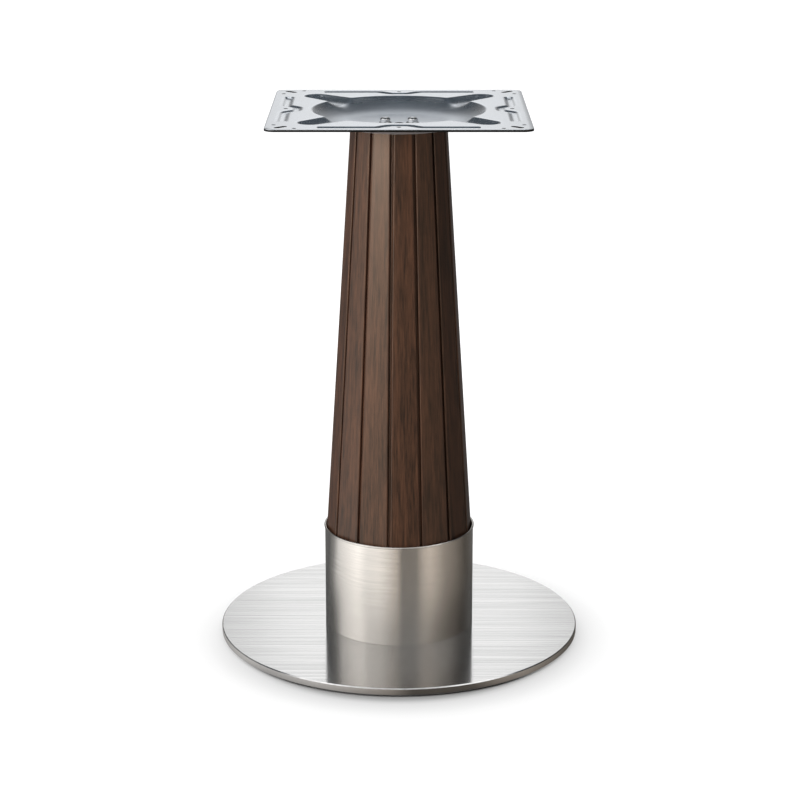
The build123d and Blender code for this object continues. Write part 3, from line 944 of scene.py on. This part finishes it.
def floor_finish(near_glow, far_glow, albedo):
    """The glow leaves out the floor under the disc and just before it and rises along a ramp there, which
    paints a soft shadow over the real one.
    """
    floor = Finish("studio_floor_painted_shadow")
    where = floor.add("ShaderNodeTexCoord", output="Object")
    reach = floor.add("ShaderNodeVectorMath", {"operation": "LENGTH"}, {0: where}, output="Value")
    moved = floor.add("ShaderNodeVectorMath", {"operation": "ADD"}, {0: where, 1: (0.0, PAINTED_SHADOW_SHIFT, 0.0)})
    fallen = floor.add("ShaderNodeVectorMath", {"operation": "LENGTH"}, {0: moved}, output="Value")
    starts = DISC_RADIUS - PAINTED_SHADOW_SHIFT
    beside = floor.range(fallen, starts, starts + PAINTED_SHADOW_REACH)
    # The painted shadow: the glow rises from nothing at the disc's edge to the near level
    glow = floor.ramp(beside, [(place, grey(share * near_glow)) for place, share in PAINTED_SHADOW_STOPS])
    glow = floor.range(reach, OPEN_FROM, OPEN_TO, 0.0, far_glow - near_glow) + glow
    light = floor.add("ShaderNodeEmission", {}, {"Color": grey(1.0), "Strength": glow})
    matt = floor.add("ShaderNodeBsdfDiffuse", {}, {"Color": grey(albedo)})
    both = floor.add("ShaderNodeAddShader", {}, {0: light, 1: matt})
    floor.add("ShaderNodeOutputMaterial", {}, {"Surface": both})
    return floor.material


FLOOR_REACH = 40.0
corners = [(x * FLOOR_REACH, y * FLOOR_REACH, 0.0) for x, y in ((-1, -1), (1, -1), (1, 1), (-1, 1))]
floor_paint = floor_finish(near_glow=0.8, far_glow=1.0, albedo=0.32)
made = mesh_object("floor", corners, [range(len(corners))], [floor_paint])
print("Floor ready")

# %% Reflectors: brightness and warmth by direction, in degrees to the right of the front
AZIMUTH_STOPS = [
    (-180, 0.9, 0), (-175.9, 0.9, 0), (-174.6, 0.65, 0), (-171, 0.38, 0), (-163, 0.17, 0), (-126, 0.14, 0),
    (-110, 0.36, 0.1), (-98, 1.0, 0.1), (-60, 1.65, 0.2), (-46, 1.25, 0.2), (-28, 1.3, 0.3), (-15, 1.0, 0.5),
    (-3, 0.64, 0.9), (4, 0.2, 1), (24, 0.22, 1), (34, 0.56, 1), (44, 0.72, 1), (56, 0.54, 1), (68, 0.36, 1),
    (82, 0.28, 1), (98, 0.17, 1), (112, 0.09, 1), (163, 0.17, 0), (171, 0.38, 0), (174.6, 0.65, 0),
    (175.9, 0.9, 0), (180, 0.9, 0),
]
# Above the horizon the brightness of each direction is multiplied by its share here
RAISED_STOPS = [
    (-180, 1.0), (-120, 1.2), (-98, 1.5), (-65, 1.4), (-40, 1.1), (-12, 0.58), (12, 0.34), (38, 0.5),
    (65, 0.5), (110, 0.7), (150, 1.0), (180, 1.0),
]
BACK_LIFT, WARMTH, CEILING, FRONT_CARD = 0.7, 0.13, (0.068, 0.08, 0.092, 1.0), 2.2
# Painted shade: the low reflector is dimmed along the disc's edge, in place of the floor's contact shadow
# that the rim reflects
PAINTED_CONTACT_SHADE, PAINTED_CONTACT_SHADE_REACH = 0.38, 0.06  # the low reflector is dimmer along the disc's edge
# Degrees between which something fades: heights above the horizon or, in a span, to each side of the front
FADE_FRONT, FADE_BACK, BACK_SPAN = (26, 36), (20, 56), (166, 174)
RAISED_RISE, LIFT_RISE = (5, 15), (16, 28)
CARD_LOW, CARD_HIGH, CARD_SPAN = (42, 48), (68, 60), (120, 100)


def lit(level, warm):
    """A reflector's colour: neutral, or warmer as warm goes from 0 to 1."""
    return (level * (1 + WARMTH * warm), level, level * (1 - WARMTH * warm), 1.0)


def reflector_finish():
    """One side glows, the other is clear. Bands by azimuth fade into a dark top with one bright card, and
    near the disc's edge the glow is dimmed as painted contact shade.
    """
    glow = Finish("reflector_glow")
    where = glow.add("ShaderNodeTexCoord", output="Object")
    split = glow.add("ShaderNodeSeparateXYZ", {}, {0: where})
    turn = glow.add("ShaderNodeMath", {"operation": "ARCTAN2"}, {0: split, 1: split.other("Y") * -1.0})
    level = glow.add("ShaderNodeCombineXYZ", {}, {"X": split, "Y": split.other("Y")})
    reach = glow.add("ShaderNodeVectorMath", {"operation": "LENGTH"}, {0: level}, output="Value")
    rise = glow.add("ShaderNodeMath", {"operation": "ARCTAN2"}, {0: split.other("Z"), 1: reach})
    size = glow.add("ShaderNodeMath", {"operation": "ABSOLUTE"}, {0: turn})
    round_share = turn / (2 * pi) + 0.5

    def fade(angle, span, *shares):
        """0 to 1, or the shares given, as an angle crosses a span of degrees."""
        return glow.range(angle, radians(span[0]), radians(span[1]), *shares)

    across = glow.ramp(round_share, [((a + 180) / 360, lit(b, w)) for a, b, w in AZIMUTH_STOPS])
    back = fade(size, BACK_SPAN)
    starts, ends = (
        back * radians(at_back - at_front) + radians(at_front)
        for at_front, at_back in zip(FADE_FRONT, FADE_BACK)
    )
    high = glow.range(rise, starts, ends)
    # A ramp holds shares of 1 at most, so it carries half of each
    raised = glow.ramp(round_share, [((a + 180) / 360, grey(b / 2)) for a, b in RAISED_STOPS]) * 2.0
    raised = (raised - 1.0) * fade(rise, RAISED_RISE) * (1 - high) + 1.0
    lift = back * fade(rise, LIFT_RISE, 0.0, BACK_LIFT) + 1.0
    # Painted contact shade on the low reflector, near the disc's edge
    painted_contact_shade = glow.range(reach, DISC_RADIUS, DISC_RADIUS + PAINTED_CONTACT_SHADE_REACH, PAINTED_CONTACT_SHADE, 1.0)
    card = fade(rise, CARD_LOW) * fade(rise, CARD_HIGH) * fade(size, CARD_SPAN)
    colour = glow.mix(high, across, glow.mix(card, CEILING, grey(FRONT_CARD)))
    light = glow.add("ShaderNodeEmission", {}, {"Color": colour, "Strength": painted_contact_shade * raised * lift})
    clear = glow.add("ShaderNodeBsdfTransparent")
    behind = glow.add("ShaderNodeNewGeometry", output="Backfacing")
    both = glow.add("ShaderNodeMixShader", {}, {0: behind, 1: light, 2: clear})
    glow.add("ShaderNodeOutputMaterial", {}, {"Surface": both})
    return glow.material


def reflector(name, rings, material, count=96):
    """Bands between circles, each given as its radius and height. Never seen by the camera."""
    turns = [2 * pi * k / count for k in range(count)]
    points = [(r * sin(t), -r * cos(t), z) for r, z in rings for t in turns]
    faces = [
        (first + k + count, first + (k + 1) % count + count, first + (k + 1) % count, first + k)
        for first in range(0, count * (len(rings) - 1), count)
        for k in range(count)
    ]
    made = mesh_object(name, points, faces, [material], sharp=180)
    made.visible_camera = False
    made.visible_shadow = False
    return made


DOME_RADIUS, LOW_HEIGHT = 10.0, 0.0006
reflector_glow = reflector_finish()
low_rings = [(DISC_RADIUS + 0.001, LOW_HEIGHT), (0.6, LOW_HEIGHT), (DOME_RADIUS, LOW_HEIGHT)]
dome_rings = [(DOME_RADIUS * cos(radians(t)), DOME_RADIUS * sin(radians(t))) for t in range(0, 90, 3)]
dome_rings.append((0.001, DOME_RADIUS))
reflector("low_reflector", low_rings, reflector_glow)
reflector("dome_reflector", dome_rings, reflector_glow)

# %% Lamps for the whole object
def soft_lamp(name, azimuth, elevation, distance, target_height, size, power, reflected):
    """A lamp at so many degrees to the right of the front and above the floor, aimed at the object's axis."""
    data = bpy.data.lights.new(name, "AREA")
    data.shape = "RECTANGLE"
    data.size, data.size_y = size
    data.energy = power
    lamp = bpy.data.objects.new(name, data)
    bpy.context.scene.collection.objects.link(lamp)
    a, e = radians(azimuth), radians(elevation)
    direction = Vector((sin(a) * cos(e), -cos(a) * cos(e), sin(e)))
    lamp.location = direction * distance + Vector((0, 0, target_height))
    lamp.rotation_euler = direction.to_track_quat("Z", "Y").to_euler()
    lamp.visible_camera = False
    lamp.visible_glossy = reflected
    return lamp


soft_lamp("key_lamp", -48, 25, 2.3, 0.4, (1.2, 1.2), power=16.0, reflected=False)
soft_lamp("top_lamp", 0, 89, 2.6, 0.0, (2.4, 2.4), power=45.0, reflected=False)

# %% Two lamps for one piece each
def only_for(lamp, name, piece):
    """Keep a lamp's light to one piece, by a collection that holds that piece alone."""
    group = bpy.data.collections.new(name)
    group.objects.link(piece)
    lamp.light_linking.receiver_collection = group


WARM_WHITE = (1.0, 0.94, 0.87)
window = soft_lamp("window_lamp", -42, 17, 2.3, 0.4, (0.9, 0.7), power=46.0, reflected=True)
window.data.color = WARM_WHITE
only_for(window, "wooden_pieces", staves)
screen = soft_lamp("screen_lamp", 180, 26, 4.0, 0.0, (1.4, 1.7), power=6.4, reflected=True)
only_for(screen, "foot_pieces", nodes["base_disc"])
print("Lamps ready")

# %% [markdown]
# ## The camera
#
# It could be placed by eye. Matching the ellipse of the disc, the plate's corners and the collar with the
# photograph gives its place, tilt and lens more closely.

# %% Camera
camera_data = bpy.data.cameras.new("camera")
camera_data.lens = 101.46
camera_data.sensor_width = 36.0
camera = bpy.data.objects.new("camera", camera_data)
bpy.context.scene.collection.objects.link(camera)
camera.location = (0.0013, -2.95453, 1.19234)
camera.rotation_euler = (radians(73.7424), 0.0, 0.0)
bpy.context.scene.camera = camera
print("Camera ready")
